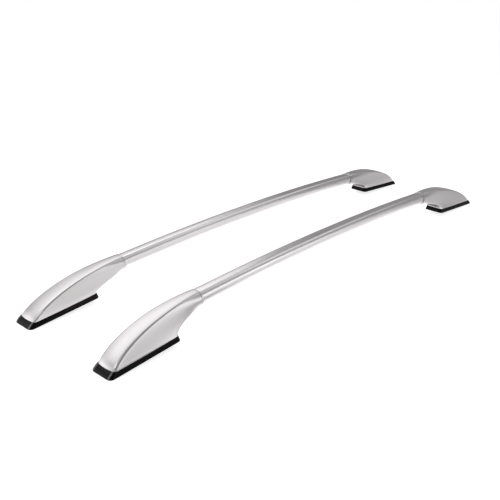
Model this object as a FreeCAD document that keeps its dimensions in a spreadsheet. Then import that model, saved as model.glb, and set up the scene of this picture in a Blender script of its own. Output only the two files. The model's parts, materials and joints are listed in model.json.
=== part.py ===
import FreeCAD, Part
import Sketcher
import math
import os

Vector = FreeCAD.Vector
Placement = FreeCAD.Placement
Rotation = FreeCAD.Rotation

ALONG = Vector(1, 0, 0)
ACROSS = Vector(0, 1, 0)

# Driving dimensions, in millimetres and degrees
SIZES = {
    # The pair of rails
    "rail_length": 1500.0,
    "rail_spacing": 295.0,
    "rail_radius": 8260.0,
    "rail_inset": 8.8,
    # The bent tube between two feet
    "tube_rise": 55.3,
    "tube_width": 38.0,
    "tube_height": 32.0,
    "tube_flat": 24.0,
    "tube_crown": 1.2,
    "tube_shoulder": 4.0,
    "tube_belly": 8.0,
    "tube_wall": 2.5,
    # The rubber pad under each foot
    "pad_length": 197.5,
    "pad_nose_width": 68.0,
    "pad_inner_width": 63.0,
    "pad_thickness": 12.0,
    "pad_nose_slope": 13.5,
    "pad_nose_bulge": 2.0,
    "pad_draft": 3.5,
    "pad_nose_corner": 12.0,
    "pad_inner_corner": 11.0,
    "pad_pitch_angle": 4.0,
    # The moulded cover of each foot
    "foot_length": 280.0,
    "cover_ledge": 1.0,
    "cover_wall": 2.5,
    "nose_rise_angle": 62.0,
    "nose_pull": 20.0,
    "crest_lift_angle": 3.1,
    "crest_pull": 172.0,
    "strip_power": 0.75,
    "sweep_power": 1.8,
    "flank_power": 1.5,
    "cover_side_bulge": 0.8,
    "cover_nose_crown": 2.5,
    "crease_rounding": 3.0,
    "neck_rounding": 6.0,
    "mouth_proud": 1.6,
    "mouth_clearance": 0.25,
    "sleeve_depth": 30.0,
    "cut_overrun": 3.0,
    "boss_diameter": 9.0,
    # The cast bracket inside each foot
    "plate_start": 32.0,
    "plate_end": 178.0,
    "plate_width": 44.0,
    "plate_thickness": 4.0,
    "plate_corner": 8.0,
    "web_start": 85.0,
    "web_base": 42.0,
    "web_thickness": 8.0,
    "web_grip": 8.0,
    "spigot_root": 55.0,
    "spigot_block": 20.0,
    "spigot_length": 70.0,
    "spigot_clearance": 0.2,
    # The threaded inserts for the roof bolts
    "insert_start": 62.0,
    "insert_spacing": 100.0,
    "insert_diameter": 10.0,
    "insert_flange": 14.0,
    "insert_flange_thickness": 2.0,
    "insert_length": 10.0,
    "thread_diameter": 6.0,
    # The screws from below into the cover
    "front_boss_along": 45.0,
    "side_boss_along": 112.0,
    "side_boss_across": -15.0,
    "cover_screw_diameter": 3.9,
    "cover_screw_length": 16.0,
    # The screws through the underside of the tube into the bracket
    "tube_screw_end": 25.0,
    "tube_screw_spacing": 25.0,
    "tube_screw_diameter": 4.2,
    "tube_screw_length": 12.0,
    # What all screws share
    "head_diameter": 8.0,
    "head_height": 2.4,
    "drive_width": 3.0,
    "drive_depth": 1.4,
    "fit_clearance": 0.1,
    "head_clearance": 1.0,
}

# Shares of the way from the cover's nose to its mouth at which its outlines are drawn
COVER_STEPS = (0, 0.2, 0.38, 0.54, 0.68, 0.8, 0.9, 0.96, 1)
CAVITY_STEPS = (0, 0.2, 0.38, 0.54, 0.68, 0.8, 0.9)

doc = FreeCAD.newDocument("roof_rails")
sheet = doc.addObject("Spreadsheet::Sheet", "Sizes")
nodes = []


def fill_sheet():
    """Write every driving dimension into the sheet, one aliased cell each."""
    for row, (alias, number) in enumerate(SIZES.items(), start=1):
        sheet.set(f"A{row}", alias)
        sheet.set(f"B{row}", str(number))
        sheet.setAlias(f"B{row}", alias)
    doc.recompute()


def value(expression):
    """The number that an expression on the sheet gives."""
    result = sheet.evalExpression(expression)
    return float(getattr(result, "Value", result))


def size(alias):
    """The number that the sheet holds under an alias."""
    return value(f"Sizes.{alias}")


def bind(thing, **expressions):
    """Tie properties of a document object to expressions on the sheet."""
    for name, expression in expressions.items():
        thing.setExpression(name, expression)


# Frames that the pieces are placed in


def arc_turn(along):
    """Expression for the arc's turn at a distance from the nose towards the middle of the rail."""
    return f"asin((Sizes.rail_length / 2 - ({along})) / (Sizes.rail_radius + Sizes.tube_rise))"


def arc_frame(turn):
    """Frame at the centre of the arc over the roof, turned towards the front end."""
    half = size("rail_length") / 2
    drop = math.sqrt(size("rail_radius") ** 2 - half ** 2)
    centre = Vector(0, -size("rail_spacing") / 2, -drop)
    return Placement(centre, Rotation(ACROSS, -turn))


def rail_frame(along):
    """Frame on the base line of the rail, with its upright axis through the middle of the tube."""
    lift = Placement(Vector(0, size("rail_inset"), size("rail_radius")), Rotation())
    return arc_frame(value(arc_turn(along))).multiply(lift)


def foot_frame():
    """Frame of the front right foot, at the bottom of its nose, pitched with the roof."""
    corner = Vector(-size("rail_length") / 2, -size("rail_spacing") / 2, 0)
    return Placement(corner, Rotation(ACROSS, -size("pad_pitch_angle")))


def leaning_foot_frame():
    """Frame of the front right foot, leaning from the middle of the pad to that of the tube."""
    lean = math.degrees(math.atan2(size("rail_inset"), size("tube_rise")))
    return foot_frame().multiply(Placement(Vector(), Rotation(ALONG, -lean)))


def at_foot(along, across, height):
    """Upright frame at a point of the foot."""
    return foot_frame().multiply(Placement(Vector(along, across, height), Rotation()))


# Sketches


def origin_feature(body, role):
    """The plane or axis of a body's own origin that has the given role."""
    return next(item for item in body.Origin.OriginFeatures if item.Role == role)


def new_sketch(body, name, role):
    """An empty sketch on one of the body's own planes."""
    sketch = body.newObject("Sketcher::SketchObject", name)
    sketch.AttachmentSupport = [(origin_feature(body, role), "")]
    sketch.MapMode = "FlatFace"
    return sketch


def drive(sketch, name, expression, *constraint):
    """Add a named dimension to a sketch and tie it to an expression on the sheet."""
    index = sketch.addConstraint(Sketcher.Constraint(*constraint, value(expression)))
    sketch.renameConstraint(index, name)
    sketch.setExpression(f"Constraints.{name}", expression)


def join_ends(sketch, kind, count):
    """Constrain the end of each edge to the start of the next, round a closed outline."""
    for edge in range(count):
        sketch.addConstraint(Sketcher.Constraint(kind, edge, 2, (edge + 1) % count, 1))


def polygon_sketch(body, name, role, points):
    """Closed outline of straight edges, each corner given by two expressions."""
    sketch = new_sketch(body, name, role)
    corners = [Vector(value(first), value(second), 0) for first, second in points]
    for index, corner in enumerate(corners):
        sketch.addGeometry(Part.LineSegment(corner, corners[(index + 1) % len(corners)]), False)
    join_ends(sketch, "Coincident", len(corners))
    for index, (first, second) in enumerate(points):
        drive(sketch, f"first_{index}", first, "DistanceX", -1, 1, index, 1)
        drive(sketch, f"second_{index}", second, "DistanceY", -1, 1, index, 1)
    return sketch


def barrel_sketch(body, name, grow):
    """Section of the tube, grown by an expression: four arcs that bulge outwards."""
    half_flat = f"(Sizes.tube_flat / 2 + {grow})"
    corner = f"(Sizes.tube_height / 2 - Sizes.tube_crown + {grow})"
    bulge = "((Sizes.tube_width - Sizes.tube_flat) / 2)"
    crown = "Sizes.tube_crown"
    side, top = value(half_flat), value(corner)
    far_side, far_top = side + value(bulge), top + value(crown)
    sketch = new_sketch(body, name, "YZ_Plane")
    bind(sketch, **{"AttachmentOffset.Base.x": "Sizes.rail_inset"})
    bind(sketch, **{"AttachmentOffset.Base.y": "Sizes.rail_radius + Sizes.tube_rise"})
    for start, through, end in (
        ((side, -top), (far_side, 0), (side, top)),
        ((side, top), (0, far_top), (-side, top)),
        ((-side, top), (-far_side, 0), (-side, -top)),
        ((-side, -top), (0, -far_top), (side, -top)),
    ):
        sketch.addGeometry(Part.Arc(Vector(*start), Vector(*through), Vector(*end)), False)
    join_ends(sketch, "Coincident", 4)
    sketch.addConstraint(Sketcher.Constraint("Symmetric", 0, 1, 0, 2, -1))
    sketch.addConstraint(Sketcher.Constraint("Symmetric", 1, 1, 1, 2, -2))
    sketch.addConstraint(Sketcher.Constraint("Symmetric", 3, 1, 3, 2, -2))
    sketch.addConstraint(Sketcher.Constraint("Equal", 0, 2))
    sketch.addConstraint(Sketcher.Constraint("Equal", 1, 3))
    drive(sketch, "half_flat", half_flat, "DistanceX", -1, 1, 0, 2)
    drive(sketch, "corner", corner, "DistanceY", -1, 1, 0, 2)
    drive(sketch, "side_radius", f"({bulge}^2 + {corner}^2) / (2 * {bulge})", "Radius", 0)
    drive(sketch, "top_radius", f"({crown}^2 + {half_flat}^2) / (2 * {crown})", "Radius", 1)
    return sketch


def tangent_normal(first, second, first_radius, second_radius):
    """Outward direction of the line that touches two circles on their lower side."""
    step = second - first
    turn = math.atan2(step.y, step.x) - math.acos((first_radius - second_radius) / step.Length)
    return Vector(math.cos(turn), math.sin(turn), 0)


def outline_sketch(body, name, height, nose, inner):
    """Tapering outline with round corners; nose and inner give (position, half width, radius)."""
    sketch = new_sketch(body, name, "XY_Plane")
    sketch.AttachmentOffset = Placement(Vector(0, 0, value(height)), Rotation())
    bind(sketch, **{"AttachmentOffset.Base.z": height})
    nose_radius, inner_radius = value(nose[2]), value(inner[2])
    nose_centre = (f"{nose[0]} + {nose[2]}", f"{nose[1]} - ({nose[2]})")
    inner_centre = (f"{inner[0]} - ({inner[2]})", f"{inner[1]} - ({inner[2]})")
    low_nose = Vector(value(nose_centre[0]), -value(nose_centre[1]), 0)
    low_inner = Vector(value(inner_centre[0]), -value(inner_centre[1]), 0)
    lower = tangent_normal(low_nose, low_inner, nose_radius, inner_radius)
    upper = Vector(lower.x, -lower.y, 0)
    high_nose = Vector(low_nose.x, -low_nose.y, 0)
    high_inner = Vector(low_inner.x, -low_inner.y, 0)
    touches = (
        (low_nose + lower * nose_radius, low_inner + lower * inner_radius),
        (low_inner + ALONG * inner_radius, high_inner + ALONG * inner_radius),
        (high_inner + upper * inner_radius, high_nose + upper * nose_radius),
        (high_nose - ALONG * nose_radius, low_nose - ALONG * nose_radius),
    )
    rounds = ((low_inner, inner_radius), (high_inner, inner_radius))
    rounds += ((high_nose, nose_radius), (low_nose, nose_radius))
    for index, (start, end) in enumerate(touches):
        centre, radius = rounds[index]
        following = touches[(index + 1) % 4][0]
        bisector = (end - centre) + (following - centre)
        through = centre + bisector.normalize() * radius
        sketch.addGeometry(Part.LineSegment(start, end), False)
        sketch.addGeometry(Part.Arc(end, through, following), False)
    join_ends(sketch, "Tangent", 8)
    for first, second in ((1, 3), (5, 7)):
        sketch.addConstraint(Sketcher.Constraint("Equal", first, second))
        sketch.addConstraint(Sketcher.Constraint("Symmetric", first, 3, second, 3, -1))
    drive(sketch, "inner_radius", inner[2], "Radius", 3)
    drive(sketch, "inner_along", inner_centre[0], "DistanceX", -1, 1, 3, 3)
    drive(sketch, "inner_across", inner_centre[1], "DistanceY", -1, 1, 3, 3)
    drive(sketch, "nose_radius", nose[2], "Radius", 5)
    drive(sketch, "nose_along", nose_centre[0], "DistanceX", -1, 1, 5, 3)
    drive(sketch, "nose_across", nose_centre[1], "DistanceY", -1, 1, 5, 3)
    return sketch


# Solids that several pieces use


def bent_length(name, grow, start, end):
    """Solid of the tube's section, grown by an expression, bent over the roof between two places."""
    body = doc.addObject("PartDesign::Body", name)
    body.Placement = arc_frame((value(arc_turn(start)) + value(arc_turn(end))) / 2)
    bend = body.newObject("PartDesign::Revolution", f"{name}_bend")
    bend.Profile = barrel_sketch(body, f"{name}_section", grow)
    bend.ReferenceAxis = (origin_feature(body, "Y_Axis"), [""])
    bend.Midplane = True
    bind(bend, Angle=f"{arc_turn(start)} - {arc_turn(end)}")
    doc.recompute()
    middle = size("rail_radius") + size("tube_rise")
    lowest = middle - value(f"Sizes.tube_height / 2 + {grow}")
    shoulders = body.newObject("PartDesign::Fillet", f"{name}_shoulders")
    shoulders.Base = (bend, long_edges(bend.Shape, middle, 2 * middle))
    bind(shoulders, Radius=f"Sizes.tube_shoulder + {grow}")
    doc.recompute()
    belly = body.newObject("PartDesign::Fillet", f"{name}_belly")
    belly.Base = (shoulders, long_edges(shoulders.Shape, lowest, (lowest + middle) / 2))
    bind(belly, Radius=f"Sizes.tube_belly + {grow}")
    doc.recompute()
    return body


def long_edges(shape, low, high):
    """Names of the edges that run along the bend, with a radius between two values."""
    names = []
    for index, edge in enumerate(shape.Edges, start=1):
        if low < getattr(edge.Curve, "Radius", 0) < high:
            names.append(f"Edge{index}")
    return names


def turned(name, points, frame):
    """Solid turned about its own upright axis from an outline of expressions."""
    body = doc.addObject("PartDesign::Body", name)
    turning = body.newObject("PartDesign::Revolution", f"{name}_turning")
    turning.Profile = polygon_sketch(body, f"{name}_outline", "XZ_Plane", points)
    turning.ReferenceAxis = (origin_feature(body, "Z_Axis"), [""])
    turning.Angle = 360
    body.Placement = frame
    return body


def pin(name, diameter, length, frame):
    """Plain cylinder with its size on the sheet, for holes and bosses."""
    cylinder = doc.addObject("Part::Cylinder", name)
    bind(cylinder, Radius=f"({diameter}) / 2", Height=length)
    cylinder.Placement = frame
    return cylinder


def cut(name, base, tools):
    """What is left of a solid after several tools."""
    group = doc.addObject("Part::Compound", f"{name}_tools")
    group.Links = tools
    result = doc.addObject("Part::Cut", name)
    result.Base = base
    result.Tool = group
    return result


def fuse(name, shapes):
    """One solid from several."""
    result = doc.addObject("Part::MultiFuse", name)
    result.Shapes = shapes
    return result


def together(name, shapes):
    """Separate like solids in one node."""
    group = doc.addObject("Part::Compound", name)
    group.Links = shapes
    return group


def screw(name, diameter, length, frame):
    """Pan-head screw with a six-sided drive; its head hangs below the frame, its shank rises."""
    shank = f"Sizes.{diameter} / 2"
    tip = f"Sizes.{length} - {shank}"
    outline = (
        ("0", "-Sizes.head_height"),
        ("Sizes.head_diameter / 2", "-Sizes.head_height"),
        ("Sizes.head_diameter / 2", "0"),
        (shank, "0"),
        (shank, tip),
        ("0", f"Sizes.{length}"),
    )
    blank = turned(f"{name}_blank", outline, frame)
    drive_hole = doc.addObject("Part::Prism", f"{name}_drive")
    drive_hole.Polygon = 6
    bind(drive_hole, Circumradius="Sizes.drive_width / 2", Height="Sizes.drive_depth")
    drive_hole.Placement = frame.multiply(Placement(Vector(0, 0, -size("head_height")), Rotation()))
    result = doc.addObject("Part::Cut", name)
    result.Base = blank
    result.Tool = drive_hole
    return result


# Places that more than one piece has to agree on


def insert_places():
    """Where the roof bolts enter the foot, along it."""
    return [size("insert_start") + step * size("insert_spacing") for step in range(2)]


def boss_places():
    """Where the cover is screwed down, along and across the foot."""
    front = (size("front_boss_along"), 0)
    side = (size("side_boss_along"), size("side_boss_across"))
    return [front, side]


def tube_screw_places():
    """Expressions for where the tube is screwed to the bracket, from the nose."""
    last = "Sizes.foot_length + Sizes.spigot_length - Sizes.tube_screw_end"
    return [f"{last} - {step} * Sizes.tube_screw_spacing" for step in range(2)]


def under_tube(along):
    """Frame just under the lowest line of the tube, where a screw head seats."""
    depth = size("tube_rise") - size("tube_height") / 2 - size("fit_clearance")
    return rail_frame(along).multiply(Placement(Vector(0, 0, depth), Rotation()))


# The tube


def tube_screw_holes(name):
    """Pins for the holes of the screws through the underside at the front end."""
    holes = []
    width = "Sizes.tube_screw_diameter + 2 * Sizes.fit_clearance"
    depth = "Sizes.tube_screw_length + 2 * Sizes.cut_overrun"
    for index, along in enumerate(tube_screw_places()):
        frame = under_tube(along).multiply(Placement(Vector(0, 0, -size("cut_overrun")), Rotation()))
        holes.append(pin(f"{name}_{index}", width, depth, frame))
    return holes


def make_tube():
    """Hollow bent tube of the right rail, with screw holes under both ends."""
    start = "Sizes.foot_length - Sizes.sleeve_depth"
    skin = bent_length("tube_skin", "0", start, f"Sizes.rail_length - ({start})")
    past = f"({start}) - Sizes.cut_overrun"
    bore = bent_length("tube_bore", "(0 - Sizes.tube_wall)", past, f"Sizes.rail_length - ({past})")
    front = together("tube_front_holes", tube_screw_holes("tube_hole"))
    rear = mirror("tube_rear_holes", front, ALONG)
    return cut("right_tube", skin, [bore, front, rear])


# The rubber pad


def make_pad():
    """Pad of the front right foot: it tapers upwards, and is open over the inserts and the screw heads."""
    body = doc.addObject("PartDesign::Body", "pad_body")
    bottom = outline_sketch(
        body,
        "pad_bottom",
        "0",
        ("0", "Sizes.pad_nose_width / 2", "Sizes.pad_nose_corner"),
        ("Sizes.pad_length", "Sizes.pad_inner_width / 2", "Sizes.pad_inner_corner"),
    )
    middle = outline_sketch(body, "pad_middle", "Sizes.pad_thickness / 2", *pad_middle_outline())
    top = outline_sketch(body, "pad_top", "Sizes.pad_thickness", *pad_top_outline())
    taper = body.newObject("PartDesign::AdditiveLoft", "pad_taper")
    taper.Profile = bottom
    taper.Sections = [middle, top]
    body.Placement = foot_frame()
    flange_hole = "Sizes.insert_flange + 2 * Sizes.head_clearance"
    head_hole = "Sizes.head_diameter + 2 * Sizes.head_clearance"
    places = [(f"pad_insert_hole_{n}", flange_hole, (x, 0)) for n, x in enumerate(insert_places())]
    places += [(f"pad_screw_hole_{n}", head_hole, spot) for n, spot in enumerate(boss_places())]
    holes = [pin(name, wide, "Sizes.pad_thickness", at_foot(*spot, 0)) for name, wide, spot in places]
    return cut("front_right_pad", body, holes)


def pad_middle_outline():
    """Outline of the pad halfway up, where its nose bulges, as expressions."""
    nose = (
        "Sizes.pad_nose_slope / 2 - Sizes.pad_nose_bulge",
        "Sizes.pad_nose_width / 2 - Sizes.pad_draft / 2",
        "Sizes.pad_nose_corner - Sizes.pad_draft / 2",
    )
    inner = (
        "Sizes.pad_length - Sizes.pad_draft / 2",
        "Sizes.pad_inner_width / 2 - Sizes.pad_draft / 2",
        "Sizes.pad_inner_corner - Sizes.pad_draft / 2",
    )
    return nose, inner


def pad_top_outline():
    """Outline of the pad's upper face, as expressions."""
    nose = (
        "Sizes.pad_nose_slope",
        "Sizes.pad_nose_width / 2 - Sizes.pad_draft",
        "Sizes.pad_nose_corner - Sizes.pad_draft",
    )
    inner = (
        "Sizes.pad_length - Sizes.pad_draft",
        "Sizes.pad_inner_width / 2 - Sizes.pad_draft",
        "Sizes.pad_inner_corner - Sizes.pad_draft",
    )
    return nose, inner


# The moulded cover


class CoverForm:
    """Form of a cover: outlines in planes that turn about a line below the mouth."""

    def __init__(self):
        centre = rail_frame("Sizes.foot_length").multVec(Vector(0, 0, size("tube_rise")))
        self.mouth = foot_frame().inverse().multVec(centre)
        self.floor = size("pad_thickness")
        ledge = size("cover_ledge")
        nose, inner = pad_top_outline()
        nose, inner = [value(item) for item in nose], [value(item) for item in inner]
        half_height = size("tube_height") / 2 + size("mouth_proud")
        self.nose_reach = self.mouth.x - nose[0] - ledge
        self.sweep_reach = self.mouth.x - inner[0] + ledge
        self.top_reach = self.mouth.z - self.floor + half_height
        self.neck_reach = self.mouth.z - self.floor - half_height
        self.nose_half = nose[1] - ledge
        self.inner_half = inner[1] - ledge
        self.mouth_half = size("tube_flat") / 2 + size("mouth_proud")
        self.nose_round = nose[2]
        self.inner_round = inner[2]

    def back(self, step):
        """Reach and height of the cover's back over the turning line, at a share of its way."""
        rise = math.radians(size("nose_rise_angle"))
        lift = math.radians(size("crest_lift_angle"))
        nose = Vector(self.nose_reach, 0, 0)
        crest = Vector(0, self.top_reach, 0)
        leaving = nose + Vector(-math.cos(rise), math.sin(rise), 0) * size("nose_pull")
        arriving = crest + Vector(math.cos(lift), math.sin(lift), 0) * size("crest_pull")
        return bezier(nose, leaving, arriving, crest).value(step)

    def sweep_radius(self, turn):
        """Distance of the hollow sweep under the neck from the turning line."""
        power = size("sweep_power")
        level = (math.cos(turn) / self.sweep_reach) ** power + (math.sin(turn) / self.neck_reach) ** power
        return level ** (-1 / power)

    def outline(self, step, inset):
        """Control polygon of an outline: corners and side middles in turn, with corner roundings."""
        back = self.back(step)
        turn = math.atan2(back.y, back.x)
        rise = math.sin(turn)
        outer = back.Length - inset
        inner = self.sweep_radius(turn) + inset
        lean = self.lean((back.Length + self.sweep_radius(turn)) / 2 * rise)
        crown = between(size("cover_nose_crown"), size("tube_crown"), rise)
        outer_half = between(self.nose_half, self.mouth_half, rise ** size("strip_power")) - inset
        inner_half = between(self.inner_half, self.mouth_half, rise ** size("flank_power")) - inset
        bulge = (size("tube_width") - size("tube_flat")) / 2
        bulge = between(size("cover_side_bulge"), bulge, rise ** 3)
        side = (outer_half + inner_half) / 2 + 2 * bulge
        edge = outer - crown
        middle = (edge + inner) / 2
        crease = between(self.nose_round, size("crease_rounding"), 1 - (1 - rise) ** 3)
        neck = between(self.inner_round, size("neck_rounding"), rise)
        flat = [
            (edge, -outer_half, crease),
            (edge + 2 * crown, 0, None),
            (edge, outer_half, crease),
            (middle, side, None),
            (inner, inner_half, neck),
            (inner, 0, None),
            (inner, -inner_half, neck),
            (middle, -side, None),
        ]
        return [(self.place(reach, across + lean, turn), corner) for reach, across, corner in flat]

    def lean(self, climb):
        """How far an outline leans from the middle of the pad to that of the tube, as it climbs."""
        return self.mouth.y * climb / (self.mouth.z - self.floor)

    def place(self, reach, across, turn):
        """Point of the foot at a reach from the turning line, in the plane at one turn."""
        height = self.floor + reach * math.sin(turn)
        return Vector(self.mouth.x - reach * math.cos(turn), across, height)

    def wire(self, step, inset):
        """Closed smooth outline at a share of the way from the nose to the mouth."""
        polygon = self.outline(step, inset)
        edges = []
        for index in range(0, len(polygon), 2):
            before = polygon[index - 1][0]
            corner, rounding = polygon[index]
            middle = polygon[index + 1][0]
            following, next_rounding = polygon[(index + 2) % len(polygon)]
            entry = corner + (before - corner).normalize() * rounding
            leaving = corner + (middle - corner).normalize() * rounding
            arrival = following + (middle - following).normalize() * next_rounding
            edges.append(bezier(entry, corner, leaving).toShape())
            edges.append(bezier(leaving, middle, arrival).toShape())
        return Part.Wire(edges)

    def loft(self, steps, inset):
        """Solid through the outlines at several steps."""
        return Part.makeLoft([self.wire(step, inset) for step in steps], True, False)


def between(base, mouth, share):
    """Number that goes from one at the cover's base to another at its mouth."""
    return base + (mouth - base) * share


def bezier(*poles):
    """Smooth curve with the given control points."""
    curve = Part.BezierCurve()
    curve.setPoles(list(poles))
    return curve


def make_cover():
    """Hollow cover of the front right foot, with screw bosses and a sleeve round the tube's end."""
    form = CoverForm()
    outside = doc.addObject("Part::Feature", "cover_outside")
    outside.Shape = form.loft(COVER_STEPS, 0)
    outside.Placement = foot_frame()
    inside = doc.addObject("Part::Feature", "cover_inside")
    wall = size("cover_wall")
    inside.Shape = form.loft(CAVITY_STEPS, wall)
    inside.Placement = foot_frame()
    opening = doc.addObject("Part::Feature", "cover_opening")
    base = Part.Face(form.wire(0, wall))
    opening.Shape = base.extrude(Vector(0, 0, -size("cut_overrun")))
    opening.Placement = foot_frame()
    past = "Sizes.foot_length - Sizes.spigot_root - Sizes.cut_overrun"
    bore = bent_length("mouth_bore", "Sizes.mouth_clearance", past, "Sizes.foot_length + Sizes.cut_overrun")
    shell = cut("cover_shell", outside, [inside, opening, bore])
    deck = size("pad_thickness") + size("plate_thickness")
    width = "Sizes.cover_screw_diameter + 2 * Sizes.fit_clearance"
    stems = []
    pilots = []
    for index, spot in enumerate(boss_places()):
        frame = at_foot(*spot, deck)
        stems.append(pin(f"boss_stem_{index}", "Sizes.boss_diameter", "Sizes.foot_length", frame))
        pilots.append(pin(f"boss_pilot_{index}", width, "Sizes.cover_screw_length", frame))
    bosses = doc.addObject("Part::Common", "cover_bosses")
    bosses.Base = outside
    bosses.Tool = together("boss_stems", stems)
    return cut("front_right_cover", fuse("cover_body", [shell, bosses]), pilots)


# The cast bracket


def make_bracket():
    """Bracket of the front right foot: base plate, leaning web and a spigot for the tube."""
    plate = doc.addObject("PartDesign::Body", "bracket_plate")
    half = "Sizes.plate_width / 2"
    nose = ("Sizes.plate_start", half, "Sizes.plate_corner")
    inner = ("Sizes.plate_end", half, "Sizes.plate_corner")
    slab = plate.newObject("PartDesign::Pad", "bracket_slab")
    slab.Profile = outline_sketch(plate, "bracket_outline", "Sizes.pad_thickness", nose, inner)
    bind(slab, Length="Sizes.plate_thickness")
    plate.Placement = foot_frame()
    web = doc.addObject("PartDesign::Body", "bracket_web")
    low = "Sizes.pad_thickness + Sizes.plate_thickness / 2"
    root = "Sizes.foot_length - Sizes.spigot_root"
    points = (
        ("Sizes.web_start", low),
        ("Sizes.web_start + Sizes.web_base", low),
        (f"{root} + Sizes.spigot_block", "Sizes.tube_rise - Sizes.web_grip"),
        (f"{root} + Sizes.spigot_block", "Sizes.tube_rise + Sizes.web_grip"),
        (root, "Sizes.tube_rise + Sizes.web_grip"),
    )
    rib = web.newObject("PartDesign::Pad", "bracket_rib")
    rib.Profile = polygon_sketch(web, "bracket_profile", "XZ_Plane", points)
    rib.Midplane = True
    bind(rib, Length="Sizes.web_thickness")
    web.Placement = leaning_foot_frame()
    thinner = "(0 - Sizes.tube_wall - Sizes.spigot_clearance)"
    spigot = bent_length("bracket_spigot", thinner, root, "Sizes.foot_length + Sizes.spigot_length")
    holes = tube_screw_holes("spigot_hole")
    for index, along in enumerate(insert_places()):
        frame = at_foot(along, 0, size("pad_thickness"))
        width = "Sizes.insert_diameter + 2 * Sizes.fit_clearance"
        holes.append(pin(f"plate_insert_hole_{index}", width, "Sizes.plate_thickness", frame))
    for index, spot in enumerate(boss_places()):
        frame = at_foot(*spot, size("pad_thickness"))
        width = "Sizes.cover_screw_diameter + 2 * Sizes.fit_clearance"
        holes.append(pin(f"plate_screw_hole_{index}", width, "Sizes.plate_thickness", frame))
    return cut("front_right_bracket", fuse("bracket_body", [plate, web, spigot]), holes)


# Fasteners


def make_inserts():
    """Threaded inserts of the front right foot, flanged under the bracket's plate."""
    bore = "Sizes.thread_diameter / 2"
    barrel = "Sizes.insert_diameter / 2"
    flange = "Sizes.insert_flange / 2"
    top = "Sizes.insert_length - Sizes.insert_flange_thickness"
    points = (
        (bore, "0 - Sizes.insert_flange_thickness"),
        (flange, "0 - Sizes.insert_flange_thickness"),
        (flange, "0"),
        (barrel, "0"),
        (barrel, top),
        (bore, top),
    )
    deck = size("pad_thickness")
    inserts = [
        turned(f"insert_{index}", points, at_foot(along, 0, deck))
        for index, along in enumerate(insert_places())
    ]
    return together("front_right_roof_inserts", inserts)


def make_cover_screws():
    """Screws of the front right foot that hold its cover down on the bracket."""
    deck = size("pad_thickness")
    screws = [
        screw(f"cover_screw_{index}", "cover_screw_diameter", "cover_screw_length", at_foot(*spot, deck))
        for index, spot in enumerate(boss_places())
    ]
    return together("front_right_cover_screws", screws)


def make_tube_screws():
    """Screws of the front right foot that hold the tube on the bracket."""
    screws = [
        screw(f"tube_screw_{index}", "tube_screw_diameter", "tube_screw_length", under_tube(along))
        for index, along in enumerate(tube_screw_places())
    ]
    return together("front_right_tube_screws", screws)


# The other three feet and the other tube


def mirror(name, source, normal):
    """Mirror image of a piece in the middle plane across the given direction."""
    image = doc.addObject("Part::Mirroring", name)
    image.Source = source
    image.Base = Vector()
    image.Normal = normal
    return image


def mirror_foot(master):
    """The piece of the front right foot and its mirror images in the other three feet."""
    piece = master.Name.replace("front_right_", "")
    rear = mirror(f"rear_right_{piece}", master, ALONG)
    front_left = mirror(f"front_left_{piece}", master, ACROSS)
    rear_left = mirror(f"rear_left_{piece}", rear, ACROSS)
    return [master, rear, front_left, rear_left]


def check(thing):
    """Stop if an object of the document failed."""
    if "Invalid" in thing.State or "Error" in thing.State:
        raise RuntimeError(f"{thing.Name} failed: {thing.State}")


def write(node):
    """Write one sub-part under its own label, after a look at its shape."""
    if node.Shape.isNull() or not node.Shape.isValid() or not node.Shape.Solids:
        raise RuntimeError(f"{node.Label} has no sound shape")
    node.Shape.exportStep(f"parts/{node.Label}.step")


def main():
    fill_sheet()
    tube = make_tube()
    nodes.extend([tube, mirror("left_tube", tube, ACROSS)])
    for make in (make_pad, make_cover, make_bracket, make_inserts, make_cover_screws, make_tube_screws):
        nodes.extend(mirror_foot(make()))
    doc.recompute()
    for thing in doc.Objects:
        check(thing)
    os.makedirs("parts", exist_ok=True)
    for node in nodes:
        node.Label = node.Name
        write(node)


main()
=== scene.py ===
"""Pair of raised roof rails: bent tubes, moulded feet, rubber pads and fixings in a plain studio."""

from __future__ import annotations

import json
import logging
import math
from dataclasses import dataclass, field
from enum import Enum
from typing import Iterable, Mapping, Sequence

import bmesh
import bpy
from mathutils import Matrix, Vector

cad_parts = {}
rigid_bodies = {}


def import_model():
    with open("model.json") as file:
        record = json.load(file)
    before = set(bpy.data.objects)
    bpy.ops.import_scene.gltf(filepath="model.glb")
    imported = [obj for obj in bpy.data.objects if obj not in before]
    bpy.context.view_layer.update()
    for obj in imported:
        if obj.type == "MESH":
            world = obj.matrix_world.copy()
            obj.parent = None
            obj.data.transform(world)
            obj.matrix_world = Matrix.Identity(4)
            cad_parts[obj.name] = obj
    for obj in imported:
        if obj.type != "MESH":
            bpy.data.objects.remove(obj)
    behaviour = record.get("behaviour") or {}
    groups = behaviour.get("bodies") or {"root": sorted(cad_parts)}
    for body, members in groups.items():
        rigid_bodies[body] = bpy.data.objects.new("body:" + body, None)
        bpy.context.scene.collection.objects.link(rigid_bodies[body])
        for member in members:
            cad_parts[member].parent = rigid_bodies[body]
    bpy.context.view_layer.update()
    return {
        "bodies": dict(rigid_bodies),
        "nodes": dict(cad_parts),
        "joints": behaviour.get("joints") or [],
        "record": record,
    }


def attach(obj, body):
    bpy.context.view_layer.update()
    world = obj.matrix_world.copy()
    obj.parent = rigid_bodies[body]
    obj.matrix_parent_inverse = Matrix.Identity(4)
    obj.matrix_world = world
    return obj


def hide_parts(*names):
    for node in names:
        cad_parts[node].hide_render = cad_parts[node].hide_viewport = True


LOG = logging.getLogger("roof_rails")
MM = 0.001
BODY = "root"
# Name of the mesh value that places the painted highlight along the pads' nose corners.
PAINTED_HIGHLIGHT = "rubbed"
SILVER_TINT = (1.02, 0.985, 0.995)
WEAK, STRONG = 0.3, 0.7
THREAD_ROWS = 6
THREAD_FLANK = 2.6
SAME_SPOT = 1e-6

Socket = bpy.types.NodeSocket
Pair = tuple[float, float]
Triple = tuple[float, float, float]
Pairs = tuple[Pair, ...]


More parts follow.
